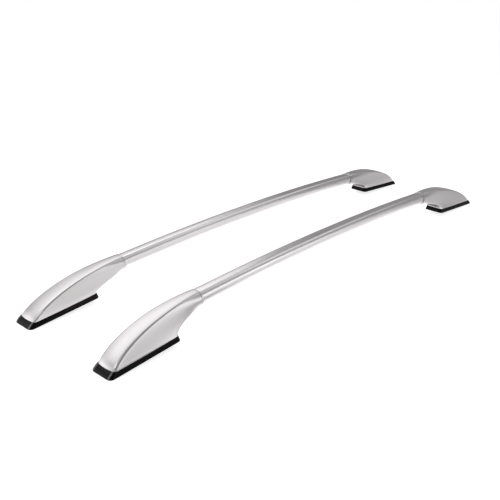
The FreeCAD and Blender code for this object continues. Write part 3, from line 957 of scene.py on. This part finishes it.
@dataclass
class FootCover:
    """Moulded cover of a foot: outlines in planes that turn about a line below its mouth."""

    layout: Layout
    pad: FootPad
    section: TubeSection = field(default_factory=TubeSection)
    ledge: float = 1.0
    wall: float = 2.5
    sleeve_wall: float = 1.35
    nose_rise: float = 62.0
    nose_pull: float = 20.0
    crest_lift: float = 3.1
    crest_pull: float = 172.0
    strip_power: float = 0.75
    sweep_power: float = 1.8
    flank_power: float = 1.5
    side_bulge: float = 0.8
    nose_crown: float = 2.5
    crease: float = 3.0
    neck: float = 6.0
    mouth_proud: float = 1.6
    lip: float = 0.7
    groove_place: float = 4.0
    groove_width: float = 1.6
    groove_depth: float = 1.0
    groove_edge: float = 0.2
    rows: int = 84
    first_row: float = 0.08
    last_row: float = 0.985
    lip_steps: int = 4
    crease_steps: int = 10
    side_steps: int = 16
    sleeve_rows: tuple[float, ...] = (1.0, 0.98, 0.96, 0.94)
    cavity_rows: tuple[float, ...] = (0.9, 0.85, 0.8, 0.74, 0.68, 0.61, 0.54, 0.46, 0.38, 0.29, 0.2, 0.1)
    finish: SatinSilver = field(default_factory=SatinSilver)

    def __post_init__(self) -> None:
        """Work out the lengths that the outlines start from."""
        centre = self.layout.rail_frame(self.layout.foot) @ Vector((0, 0, self.layout.rise))
        self.mouth = self.layout.foot_frame().inverted() @ centre
        self.floor = self.pad.thickness
        half_height = self.section.height / 2 + self.mouth_proud
        self.nose_reach = self.mouth.x - self.pad.nose_slope - self.ledge
        self.sweep_reach = self.mouth.x - self.pad.length + self.pad.draft + self.ledge
        self.top_reach = self.mouth.z - self.floor + half_height
        self.neck_reach = self.mouth.z - self.floor - half_height
        self.nose_half = self.pad.nose_width / 2 - self.pad.draft - self.ledge
        self.inner_half = self.pad.inner_width / 2 - self.pad.draft - self.ledge
        self.mouth_half = self.section.flat / 2 + self.mouth_proud

    def build(self, corner: Corner) -> bpy.types.Object:
        """Make the cover of one foot.

        Args:
            corner: The foot that it belongs to.

        Returns:
            The cover.
        """
        skin = Skin()
        lip = turned_edge(self.lip, self.lip_steps)
        rows = [row / self.rows for row in range(1, self.rows)]
        places = [(0.0, self.wall, 0.0)] + [(0.0, inset, up) for inset, up in lip]
        places += [(row, 0.0, 0.0) for row in rows if self.first_row < row < self.last_row]
        places += [(1.0, inset, -back) for inset, back in self._groove() + lip[::-1]]
        places += [(row, self.sleeve_wall, 0.0) for row in self.sleeve_rows]
        places += [(row, self.wall, 0.0) for row in self.cavity_rows]
        rings = [skin.ring(self._ring(*place)) for place in places]
        skin.stack(rings)
        skin.bridge(rings[-1], rings[0])
        name = f"{corner.label}_foot_cover"
        mesh = skin.mesh(name, corner, self.layout.foot_frame())
        return show(name, mesh, self.finish, [f"{corner.label}_cover"])

    def _groove(self) -> list[Pair]:
        """Rings across the groove round the mouth.

        Returns:
            Inset of each ring and how far before the mouth it lies.
        """
        front = self.groove_place + self.groove_width / 2
        rear = self.groove_place - self.groove_width / 2
        deep, edge = self.groove_depth, self.groove_edge
        outer = [(0.0, front + edge), (edge, front), (deep, front)]
        return outer + [(deep, rear), (edge, rear), (0.0, rear - edge)]

    def _back(self, step: float) -> Vector:
        """Point of the cover's back.

        Args:
            step: Share of the way from the nose to the mouth.

        Returns:
            Its reach and its height over the turning line.
        """
        rise, lift = math.radians(self.nose_rise), math.radians(self.crest_lift)
        nose, crest = Vector((self.nose_reach, 0)), Vector((0, self.top_reach))
        leaving = nose + Vector((-math.cos(rise), math.sin(rise))) * self.nose_pull
        arriving = crest + Vector((math.cos(lift), math.sin(lift))) * self.crest_pull
        rest = 1 - step
        return (nose * rest ** 3 + leaving * 3 * rest ** 2 * step
                + arriving * 3 * rest * step ** 2 + crest * step ** 3)

    def _sweep_radius(self, turn: float) -> float:
        """Distance of the hollow sweep under the neck from the turning line.

        Args:
            turn: Turn of the outline's plane.

        Returns:
            The distance.
        """
        level = (max(math.cos(turn), 0.0) / self.sweep_reach) ** self.sweep_power
        level += (math.sin(turn) / self.neck_reach) ** self.sweep_power
        return level ** (-1 / self.sweep_power)

    def _ring(self, step: float, inset: float, shift: float) -> list[Vector]:
        """Ring round the cover.

        Args:
            step: Share of the way from the nose to the mouth.
            inset: How far it lies inside the cover's skin.
            shift: How far it is moved off its plane, up at the base or back at the mouth.

        Returns:
            Its points.
        """
        back = self._back(step)
        turn = math.atan2(back.y, back.x)
        polygon = self._polygon(back.length, turn, inset)
        normal = Vector((math.sin(turn), 0, math.cos(turn)))
        points = []
        for index in range(0, len(polygon), 2):
            before = polygon[index - 1][0]
            spot, rounding = polygon[index]
            middle = polygon[index + 1][0]
            following, next_rounding = polygon[(index + 2) % len(polygon)]
            entry = spot + (before - spot).normalized() * rounding
            leaving = spot + (middle - spot).normalized() * rounding
            arrival = following + (middle - following).normalized() * next_rounding
            points += bezier(entry, spot, leaving, self.crease_steps)
            points += bezier(leaving, middle, arrival, self.side_steps)
        return [point + normal * shift for point in points]

    def _polygon(self, top: float, turn: float, inset: float) -> list[tuple[Vector, float]]:
        """Control points of an outline.

        Args:
            top: Distance of the cover's back from the turning line.
            turn: Turn of the outline's plane.
            inset: How far it lies inside the cover's skin.

        Returns:
            Corners and side middles in turn, with corner roundings.
        """
        rise = math.sin(turn)
        outer = top - inset
        inner = self._sweep_radius(turn) + inset
        climb = (top + self._sweep_radius(turn)) / 2 * rise
        lean = self.mouth.y * climb / (self.mouth.z - self.floor)
        crown = mixed(self.nose_crown, self.section.crown, rise)
        outer_half = mixed(self.nose_half, self.mouth_half, rise ** self.strip_power) - inset
        inner_half = mixed(self.inner_half, self.mouth_half, rise ** self.flank_power) - inset
        bulge = mixed(self.side_bulge, (self.section.width - self.section.flat) / 2, rise ** 3)
        side = (outer_half + inner_half) / 2 + 2 * bulge
        edge = outer - crown
        middle = (edge + inner) / 2
        crease = mixed(self.pad.nose_corner - self.pad.draft, self.crease, 1 - (1 - rise) ** 3)
        neck = mixed(self.pad.inner_corner - self.pad.draft, self.neck, rise)
        flat = (
            (edge, -outer_half, crease),
            (edge + 2 * crown, 0.0, 0.0),
            (edge, outer_half, crease),
            (middle, side, 0.0),
            (inner, inner_half, neck),
            (inner, 0.0, 0.0),
            (inner, -inner_half, neck),
            (middle, -side, 0.0),
        )
        return [(self._place(reach, across + lean, turn), rounding) for reach, across, rounding in flat]

    def _place(self, reach: float, across: float, turn: float) -> Vector:
        """Point of the foot at a reach from the turning line, in the plane at one turn."""
        return Vector((self.mouth.x - reach * math.cos(turn), across, self.floor + reach * math.sin(turn)))


@dataclass(frozen=True)
class PanScrew:
    """Pan-head screw with a six-sided drive: its head hangs down and its threaded shank rises."""

    shank: float
    length: float
    head: float = 8.0
    head_height: float = 2.4
    drive: float = 3.0
    drive_depth: float = 1.4
    pitch: float = 1.6
    thread: float = 0.45
    collar: float = 0.8
    sectors: int = 36

    def model(self, name: str) -> bpy.types.Mesh:
        """Make one screw, upright at the origin.

        Args:
            name: Name of its mesh.

        Returns:
            The mesh.
        """
        skin = Skin()
        low, edge, radius = -self.head_height, self.head / 2, self.shank / 2
        socket = ((1.0, low + self.drive_depth), (1.0, low + 0.2), (1.1, low))
        rings = [self._hexagon(scale, height) for scale, height in socket]
        dome = ((0.62, low), (0.84, low + 0.15), (0.96, low + 0.6), (1.0, low + 1.2), (1.0, -0.2), (0.95, 0.0))
        rings += [round_ring(edge * share, height, self.sectors) for share, height in dome]
        rings += [round_ring(radius, height, self.sectors) for height in (0.0, self.collar)]
        root, taper = radius - self.thread, self.length - radius
        rings += thread_rings(root, self.thread, self.collar, taper, self.pitch, self.sectors)[1:]
        rings.append(round_ring(radius * 0.15, self.length, self.sectors))
        numbered = [skin.ring(ring) for ring in rings]
        skin.stack(numbered)
        skin.cap(numbered[0])
        skin.cap(numbered[-1])
        return skin.mesh(name, Corner.FRONT_RIGHT, Matrix.Identity(4))

    def _hexagon(self, scale: float, height: float) -> list[Vector]:
        """Ring round the six-sided drive.

        Args:
            scale: Its size over the drive's own.
            height: Its height in the screw.

        Returns:
            Its points.
        """
        points = []
        for sector in range(self.sectors):
            turn = 2 * math.pi * sector / self.sectors
            off = (turn % (math.pi / 3)) - math.pi / 6
            reach = scale * self.drive / 2 * math.cos(math.pi / 6) / math.cos(off)
            points.append(Vector((reach * math.cos(turn), reach * math.sin(turn), height)))
        return points


@dataclass(frozen=True)
class FlangedInsert:
    """Threaded insert with a flange below and a knurled barrel."""

    barrel: float = 10.0
    flange: float = 14.0
    flange_thickness: float = 2.0
    length: float = 10.0
    bore: float = 6.0
    pitch: float = 1.0
    thread: float = 0.4
    knurl: float = 0.15
    chamfer: float = 0.6
    sectors: int = 48

    def model(self, name: str) -> bpy.types.Mesh:
        """Make one insert, upright at the origin, with the top of its flange at the origin.

        Args:
            name: Name of its mesh.

        Returns:
            The mesh.
        """
        skin = Skin()
        low, top = -self.flange_thickness, self.length - self.flange_thickness
        wide, narrow, hole = self.flange / 2, self.barrel / 2, self.bore / 2
        cut, sectors = self.chamfer, self.sectors
        outline = ((hole + cut, low), (wide - 0.4, low), (wide, low + 0.4), (wide, -0.3), (wide - 0.3, 0.0))
        rings = [round_ring(radius, height, sectors) for radius, height in outline]
        rings.append(round_ring(narrow - self.knurl, 0.0, sectors))
        rings += [self._knurled(narrow, height) for height in (1.0, top - 1.0)]
        rings += [round_ring(narrow - 0.5, top, sectors), round_ring(hole + cut, top, sectors)]
        rings += thread_rings(hole, self.thread, top - cut, low + cut, self.pitch, sectors)
        numbered = [skin.ring(ring) for ring in rings]
        skin.stack(numbered)
        skin.bridge(numbered[-1], numbered[0])
        return skin.mesh(name, Corner.FRONT_RIGHT, Matrix.Identity(4))

    def _knurled(self, radius: float, height: float) -> list[Vector]:
        """Ring round the knurled barrel, every second point set back."""
        rings = [round_ring(radius - back, height, self.sectors) for back in (0.0, self.knurl)]
        return [rings[sector % 2][sector] for sector in range(self.sectors)]


@dataclass
class Fixings:
    """Screws and threaded inserts of all four feet, one mesh for each kind."""

    layout: Layout
    pad: FootPad
    section: TubeSection = field(default_factory=TubeSection)
    tube_screws: tuple[float, ...] = (325.0, 300.0)
    seat_clearance: float = 0.1
    cover_screw: PanScrew = PanScrew(3.9, 16.0)
    tube_screw: PanScrew = PanScrew(4.2, 12.0)
    roof_insert: FlangedInsert = FlangedInsert()
    steel: HiddenMetal = ZINC_STEEL
    brass: HiddenMetal = TURNED_BRASS

    def build(self) -> None:
        """Make the three kinds of fixing."""
        foot, deck = self.layout.foot_frame(), self.pad.thickness
        under = self.layout.rise - self.section.height / 2 - self.seat_clearance
        cover = [foot @ Matrix.Translation((*spot, deck)) for spot in self.pad.screws]
        tube = [self.layout.rail_frame(along) @ Matrix.Translation((0, 0, under)) for along in self.tube_screws]
        roof = [foot @ Matrix.Translation((*spot, deck)) for spot in self.pad.inserts]
        self._kind("cover_screws", self.cover_screw, cover, self.steel)
        self._kind("tube_screws", self.tube_screw, tube, self.steel)
        self._kind("roof_inserts", self.roof_insert, roof, self.brass)

    def _kind(
        self, name: str, model: PanScrew | FlangedInsert, frames: Sequence[Matrix], finish: Finish
    ) -> None:
        """Set one kind of fixing at its places in all four feet.

        Args:
            name: Name of the kind, which its solids' names end in.
            model: The fixing.
            frames: Its places in the front right foot.
            finish: What it is made of.
        """
        sample = bpy.data.objects.new(f"{name}_sample", model.model(f"{name}_sample"))
        bpy.context.scene.collection.objects.link(sample)
        carrier = bpy.data.objects.new(f"{name}_places", self._places(name, frames))
        bpy.context.scene.collection.objects.link(carrier)
        mesh = grown(carrier, scatter_tree(), {"Fixing": sample, "Finish": finish.material()})
        bpy.data.objects.remove(sample)
        show(name, mesh, finish, [f"{corner.label}_{name}" for corner in Corner])

    def _places(self, name: str, frames: Sequence[Matrix]) -> bpy.types.Mesh:
        """Note the places in all four feet as loose points.

        Args:
            name: Name of the kind of fixing.
            frames: Its places in the front right foot.

        Returns:
            Mesh of the points, each with the turn of its axis.
        """
        spots, turns = [], []
        for corner in Corner:
            for frame in frames:
                axis = corner.mirror(frame.to_3x3() @ Vector((0, 0, 1)))
                spots.append(corner.mirror(frame.translation) * MM)
                turns += Vector((0, 0, 1)).rotation_difference(axis).to_euler()
        mesh = bpy.data.meshes.new(f"{name}_places")
        mesh.from_pydata(spots, [], [])
        mesh.attributes.new("turn", "FLOAT_VECTOR", "POINT").data.foreach_set("vector", turns)
        return mesh


def scatter_tree() -> bpy.types.GeometryNodeTree:
    """Make the tree that sets a fixing on each point, turned as the point says, once.

    Returns:
        The tree.
    """
    if "fixings_at_points" in bpy.data.node_groups:
        return bpy.data.node_groups["fixings_at_points"]
    wiring = Wiring("fixings_at_points", {"Fixing": "Object", "Finish": "Material"})
    fixing = wiring.node("GeometryNodeObjectInfo", Object=wiring.given["Fixing"])
    turn = wiring.node("GeometryNodeInputNamedAttribute", Name="turn")
    turn.data_type = "FLOAT_VECTOR"
    euler = wiring.node("FunctionNodeEulerToRotation", Euler=turn.outputs["Attribute"])
    points = wiring.node("GeometryNodeMeshToPoints", Mesh=wiring.given["Geometry"])
    placed = wiring.node(
        "GeometryNodeInstanceOnPoints",
        Points=points.outputs[0],
        Instance=fixing.outputs["Geometry"],
        Rotation=euler.outputs[0],
    )
    return wiring.end(placed.outputs[0])


def arc(centre: Sequence[float], radius: float, start: float, end: float, steps: int) -> list[Pair]:
    """Points of a flat arc.

    Args:
        centre: Its middle.
        radius: Its radius.
        start: Turn at its start, in radians.
        end: Turn at its end.
        steps: Steps between the two.

    Returns:
        The points, with both ends.
    """
    x, y = centre
    turns = [start + (end - start) * step / steps for step in range(steps + 1)]
    return [(x + radius * math.cos(turn), y + radius * math.sin(turn)) for turn in turns]


def round_ring(radius: float, height: float, sectors: int, centre: Pair = (0.0, 0.0)) -> list[Vector]:
    """Level ring about an upright axis."""
    return [Vector((*spot, height)) for spot in arc(centre, radius, 0.0, 2 * math.pi, sectors)[:-1]]


def turned_edge(radius: float, steps: int) -> list[Pair]:
    """Inset and depth of the rings round a rounded edge, from its face to its side."""
    turns = [math.pi / 2 * step / steps for step in range(steps + 1)]
    return [(radius * (1 - math.sin(turn)), radius * (1 - math.cos(turn))) for turn in turns]


def thread_rings(
    root: float, depth: float, start: float, end: float, pitch: float, sectors: int
) -> list[list[Vector]]:
    """Level rings across a screw thread.

    Args:
        root: Smallest radius.
        depth: Height of the thread over it.
        start: Height of the first ring.
        end: Height of the last ring.
        pitch: Climb of the thread in one turn.
        sectors: Points round each ring.

    Returns:
        The rings.
    """
    rows = math.ceil(abs(end - start) / pitch * THREAD_ROWS)
    rings = []
    for row in range(rows + 1):
        height = mixed(start, end, row / rows)
        ring = []
        for sector in range(sectors):
            turn = 2 * math.pi * sector / sectors
            phase = (height / pitch - sector / sectors) % 1.0
            radius = root + depth * max(0.0, 1 - THREAD_FLANK * abs(phase - 0.5))
            ring.append(Vector((radius * math.cos(turn), radius * math.sin(turn), height)))
        rings.append(ring)
    return rings


def mixed(first: float, second: float, share: float) -> float:
    """Number between two."""
    return first + (second - first) * share


def bezier(start: Vector, pull: Vector, end: Vector, steps: int) -> list[Vector]:
    """Points of a smooth curve that bends towards a third point, without its end."""
    shares = [step / steps for step in range(steps)]
    return [start.lerp(pull, share).lerp(pull.lerp(end, share), share) for share in shares]


@dataclass(frozen=True)
class Softbox:
    """Flat soft lamp, in metres."""

    name: str
    place: Triple
    aim: Triple
    width: float
    height: float
    glow: float

    def hang(self, scene: bpy.types.Scene) -> None:
        """Hang the lamp in the scene, facing its aim and out of the picture.

        Args:
            scene: The scene.
        """
        lamp = bpy.data.lights.new(self.name, "AREA")
        lamp.shape = "RECTANGLE"
        lamp.size = self.width
        lamp.size_y = self.height
        lamp.energy = self.glow * math.pi * self.width * self.height
        hung = bpy.data.objects.new(self.name, lamp)
        facing = Vector(self.aim) - Vector(self.place)
        turn = facing.to_track_quat("-Z", "Y").to_matrix().to_4x4()
        hung.matrix_world = Matrix.Translation(self.place) @ turn
        hung.visible_camera = False
        scene.collection.objects.link(hung)


@dataclass
class Studio:
    """Plain pale floor, soft light and a camera at the photograph's angle."""

    camera_place: Triple = (-1.4775, -1.2357, 0.8307)
    yaw: float = 42.9
    pitch: float = 23.3
    roll: float = 0.6154
    lens: float = 53.16
    sensor: float = 36.0
    sight: float = 100.0
    floor_reach: float = 30.0
    paper: float = 0.80
    paper_glow: float = 0.80
    # Bands of the painted reflection: a glow on the floor that only reflections show.
    paper_along: tuple[float, ...] = (-0.5, 0.7, 1.0, 0.15)
    paper_aside: Pairs = ((-0.64, 1.0), (-0.38, 0.06), (-0.24, 0.06), (-0.10, 0.49))
    paper_beside: Pairs = ((-0.42, 0.0), (-0.20, 0.50), (0.42, 0.50), (0.66, 0.10))
    paper_below: Pairs = (
        (-0.23, 0.0), (-0.18, 0.55), (-0.13, 0.55), (-0.09, 0.0),
        (0.07, 0.0), (0.11, 0.55), (0.17, 0.55), (0.22, 0.0),
    )
    room: float = 0.25
    backdrop_up: tuple[float, ...] = (0.02, 0.34, 0.45, 0.0)
    backdrop_along: tuple[float, ...] = (0.2, 0.75, 1.0, 0.1)
    softboxes: tuple[Softbox, ...] = (
        Softbox("left_softbox", (-0.2, 1.20, 1.25), (-0.2, 0.0, 0.1), 3.0, 1.1, 0.70),
        Softbox("left_core", (-0.3, 1.05, 1.45), (-0.3, 0.0, 0.1), 2.6, 0.50, 1.20),
        Softbox("front_softbox", (-2.1, 1.40, 0.55), (-0.7, 0.0, 0.05), 1.6, 1.0, 1.4),
        Softbox("right_softbox", (0.8, -2.2, 0.35), (0.2, 0.0, 0.05), 2.4, 0.7, 1.55),
        Softbox("top_softbox", (1.2, -0.6, 1.5), (0.2, -0.3, 0.1), 2.0, 1.3, 0.75),
        Softbox("small_lamp", (-1.65, 0.11, 1.17), (-0.74, -0.17, 0.01), 0.10, 0.10, 60.0),
    )

    def build(self) -> None:
        """Set up the camera, the floor and the light."""
        scene = bpy.context.scene
        scene.view_settings.view_transform = "Standard"
        self._camera(scene)
        self._floor(scene)
        self._light(scene)

    def _camera(self, scene: bpy.types.Scene) -> None:
        """Stand the camera where the photograph was taken from.

        Args:
            scene: The scene.
        """
        yaw, pitch, roll = (math.radians(turn) for turn in (self.yaw, self.pitch, self.roll))
        ahead = Vector((math.cos(yaw) * math.cos(pitch), math.sin(yaw) * math.cos(pitch), -math.sin(pitch)))
        right = Vector((math.sin(yaw), -math.cos(yaw), 0))
        above = right.cross(ahead)
        level = right * math.cos(roll) + above * math.sin(roll)
        above = above * math.cos(roll) - right * math.sin(roll)
        lens = bpy.data.cameras.new("studio_camera")
        lens.lens = self.lens
        lens.sensor_width = self.sensor
        lens.sensor_fit = "HORIZONTAL"
        lens.clip_end = self.sight
        camera = bpy.data.objects.new("studio_camera", lens)
        turn = Matrix((level, above, -ahead)).transposed().to_4x4()
        camera.matrix_world = Matrix.Translation(self.camera_place) @ turn
        scene.collection.objects.link(camera)
        scene.camera = camera

    def _floor(self, scene: bpy.types.Scene) -> None:
        """Lay a white floor that keeps a faint shadow.

        Args:
            scene: The scene.
        """
        reach = self.floor_reach
        mesh = bpy.data.meshes.new("studio_floor")
        corners = [(-reach, -reach, 0), (reach, -reach, 0), (reach, reach, 0), (-reach, reach, 0)]
        mesh.from_pydata(corners, [], [(0, 1, 2, 3)])
        floor = bpy.data.objects.new("studio_floor", mesh)
        scene.collection.objects.link(floor)
        mesh.materials.append(self._paper())

    def _paper(self) -> bpy.types.Material:
        """Make matt paper that takes light and shadow, with a glow that keeps it white for the camera, and a
        painted reflection: a glow in bands that only reflections show.

        Returns:
            The paper.
        """
        material = bpy.data.materials.new("studio_paper")
        material.use_nodes = True
        nodes = Nodes(material.node_tree)
        nodes.tree.nodes.clear()
        place = self._axes(nodes, "Object")
        path = nodes.node("ShaderNodeLightPath").outputs
        # Painted reflection: a glow in bands over the floor that only glossy rays see, which sets bright and
        # dark bands on the metal.
        along = nodes.span(place["X"], *self.paper_along)
        aside = nodes.worked("MULTIPLY", along, self._profile(nodes, place["Y"], self.paper_aside))
        flat = nodes.worked("MAXIMUM", aside, self._profile(nodes, place["X"], self.paper_beside))
        level = nodes.worked("ADD", flat, self._profile(nodes, place["Y"], self.paper_below))
        mirrored = nodes.worked("MULTIPLY", level, path["Is Glossy Ray"])
        seen = nodes.worked("MULTIPLY", self._looks(nodes, path), self.paper_glow)
        matt = nodes.node("ShaderNodeBsdfDiffuse", Color=(self.paper, self.paper, self.paper, 1))
        glow = nodes.node("ShaderNodeEmission", Strength=nodes.worked("ADD", mirrored, seen))
        both = nodes.node("ShaderNodeAddShader")
        for shader, socket in zip((matt, glow), both.inputs):
            nodes.lead(shader.outputs[0], socket)
        nodes.node("ShaderNodeOutputMaterial", Surface=both.outputs[0])
        return material

    @staticmethod
    def _axes(nodes: Nodes, kind: str) -> Mapping[str, Socket]:
        """The three numbers of one kind of coordinates."""
        coordinates = nodes.node("ShaderNodeTexCoord").outputs[kind]
        return nodes.node("ShaderNodeSeparateXYZ", Vector=coordinates).outputs

    @staticmethod
    def _looks(nodes: Nodes, path: Mapping[str, Socket]) -> Socket:
        """One where the camera looks, also through glass, and nought elsewhere."""
        return nodes.worked("MAXIMUM", path["Is Camera Ray"], path["Is Transmission Ray"])

    @staticmethod
    def _profile(nodes: Nodes, source: Socket, stops: Pairs) -> Socket:
        """Number that changes gently from stop to stop, over places from -1 to 1."""
        spread = nodes.span(source, -1.0, 1.0, 0.0, 1.0, smooth=False)
        return nodes.ramp(spread, [((place + 1) / 2, (number,) * 3) for place, number in stops], "EASE")

    def _light(self, scene: bpy.types.Scene) -> None:
        """Hang the softboxes in a dim room with a white backdrop round it.

        Args:
            scene: The scene.
        """
        world = bpy.data.worlds.new("studio_room")
        world.use_nodes = True
        scene.world = world
        nodes = Nodes(world.node_tree)
        look = self._axes(nodes, "Generated")
        path = nodes.node("ShaderNodeLightPath").outputs
        up, along = nodes.span(look["Z"], *self.backdrop_up), nodes.span(look["X"], *self.backdrop_along)
        mirrored = nodes.worked("MULTIPLY", nodes.worked("MULTIPLY", up, along), path["Is Glossy Ray"])
        level = nodes.worked("ADD", mirrored, self.room)
        wall = nodes.tree.nodes["Background"]
        nodes.lead((1, 1, 1, 1), wall.inputs["Color"])
        nodes.lead(nodes.worked("MAXIMUM", level, self._looks(nodes, path)), wall.inputs["Strength"])
        for softbox in self.softboxes:
            softbox.hang(scene)


def dress_brackets(frame: dict[str, object]) -> None:
    """Give the brackets, which stay in the scene as they are, their finish.

    Args:
        frame: The loaded frame.
    """
    for name, solid in frame["nodes"].items():
        if name.endswith("_bracket"):
            solid.data.materials.clear()
            solid.data.materials.append(CAST_ALUMINIUM.material())
            LOG.info("%s: dressed", name)


def main() -> None:
    """Build every piece in order."""
    logging.basicConfig(level=logging.INFO, format="%(name)s: %(message)s")
    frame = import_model()
    Studio().build()
    layout = Layout()
    tube = RailTube(layout)
    for side in Side:
        tube.build(side)
    pad = FootPad(layout)
    cover = FootCover(layout, pad)
    for corner in Corner:
        pad.build(corner)
        cover.build(corner)
    Fixings(layout, pad).build()
    dress_brackets(frame)


if __name__ == "__main__":
    main()
